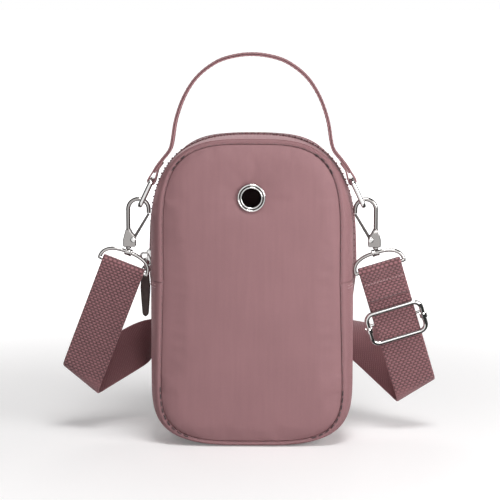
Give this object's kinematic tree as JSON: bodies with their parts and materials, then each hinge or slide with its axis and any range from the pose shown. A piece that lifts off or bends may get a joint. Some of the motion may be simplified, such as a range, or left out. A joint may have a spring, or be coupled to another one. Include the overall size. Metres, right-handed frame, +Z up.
{
  "type": "crossbody bag",
  "caption": "Small upright zipped crossbody bag with an eyelet in its front, a short top handle and a long webbing strap on swivel hooks.",
  "frame": {"origin": "middle of the flat base that the bag stands on", "axes": "+Z up, -Y is the front with the eyelet, +X is the wearer-side right as seen from the front"},
  "size_m": [0.221, 0.0914, 0.227],
  "materials": {
    "nylon": "smooth, softly padded dusty rose fabric",
    "webbing": "coarse twill webbing",
    "lining": "plain thin cloth",
    "zip_tape": "woven tape",
    "zip_teeth": "moulded",
    "leather": "dark smooth leather",
    "nickel": "polished plating"
  },
  "bodies": {
    "bag": {"front_panel": "nylon", "back_panel": "nylon", "front_band": "nylon", "back_band": "nylon", "lower_gusset": "nylon", "inner_lining": "lining", "eyelet": "nickel", "eyelet_washer": "nickel", "zip_tape_front": "zip_tape", "zip_tape_back": "zip_tape", "zip_chain": "zip_teeth", "handle": "nylon", "strap_left": "webbing", "strap_right": "webbing", "strap_hank": "webbing", "strap_tie": "webbing"},
    "zip_slider": {"zip_slider": "nickel"},
    "zip_link": {"zip_link": "nickel"},
    "zip_tab": {"zip_tab": "leather"},
    "side_ring_left": {"side_ring_left": "nickel"},
    "side_ring_right": {"side_ring_right": "nickel"},
    "strap_ring_left": {"strap_ring_left": "nickel", "hook_swivel_left": "nickel"},
    "strap_ring_right": {"strap_ring_right": "nickel", "hook_swivel_right": "nickel"},
    "hook_left": {"hook_left": "nickel", "hook_pin_left": "nickel"},
    "hook_right": {"hook_right": "nickel", "hook_pin_right": "nickel"},
    "gate_left": {"hook_gate_left": "nickel"},
    "gate_right": {"hook_gate_right": "nickel"},
    "strap_slider": {"strap_slider_frame": "nickel", "strap_slider_bar": "nickel", "strap_slider_tab": "webbing"}
  },
  "joints": [
    {"name": "zip_slide", "type": "slide", "parent": "bag", "child": "zip_slider", "axis": [0, 0, 1], "range_m": [0, 0.014]},
    {"name": "zip_link_hinge", "type": "hinge", "parent": "zip_slider", "child": "zip_link", "pos_m": [-0.06275, 0, 0.1062], "axis": [0, 1, 0], "range_deg": [0, 95]},
    {"name": "zip_tab_hinge", "type": "hinge", "parent": "zip_link", "child": "zip_tab", "pos_m": [-0.06275, 0, 0.0996], "axis": [0, 1, 0], "range_deg": [0, 70]},
    {"name": "side_ring_hinge_left", "type": "hinge", "parent": "bag", "child": "side_ring_left", "pos_m": [-0.0572, -0.016, 0.1541], "axis": [0, 1, 0], "range_deg": [-0.8, 0.8]},
    {"name": "strap_ring_hinge_left", "type": "hinge", "parent": "bag", "child": "strap_ring_left", "pos_m": [-0.07443, -0.016, 0.10391], "axis": [-0.9304, 0, 0.3665], "range_deg": [-4, 4]},
    {"name": "hook_swivel_left", "type": "hinge", "parent": "strap_ring_left", "child": "hook_left", "pos_m": [-0.0712, -0.016, 0.1154], "axis": [0, 0, 1], "range_deg": [-6, 6]},
    {"name": "gate_left", "type": "hinge", "parent": "hook_left", "child": "gate_left", "pos_m": [-0.0683, -0.016, 0.1196], "axis": [0, -1, 0], "range_deg": [0, 16], "stiffness_Nm_per_rad": 0.004, "springref_deg": -20.05},
    {"name": "side_ring_hinge_right", "type": "hinge", "parent": "bag", "child": "side_ring_right", "pos_m": [0.0572, -0.016, 0.1541], "axis": [0, 1, 0], "range_deg": [-0.8, 0.8]},
    {"name": "strap_ring_hinge_right", "type": "hinge", "parent": "bag", "child": "strap_ring_right", "pos_m": [0.07377, -0.016, 0.10368], "axis": [0.9563, 0, 0.2924], "range_deg": [-4, 4]},
    {"name": "hook_swivel_right", "type": "hinge", "parent": "strap_ring_right", "child": "hook_right", "pos_m": [0.0712, -0.016, 0.1154], "axis": [0, 0, 1], "range_deg": [-6, 6]},
    {"name": "gate_right", "type": "hinge", "parent": "hook_right", "child": "gate_right", "pos_m": [0.0683, -0.016, 0.1196], "axis": [0, 1, 0], "range_deg": [0, 16], "stiffness_Nm_per_rad": 0.004, "springref_deg": -20.05},
    {"name": "strap_slide", "type": "slide", "parent": "bag", "child": "strap_slider", "axis": [0.2824, 0.2588, -0.9237], "range_m": [-0.005, 0.006]}
  ]
}
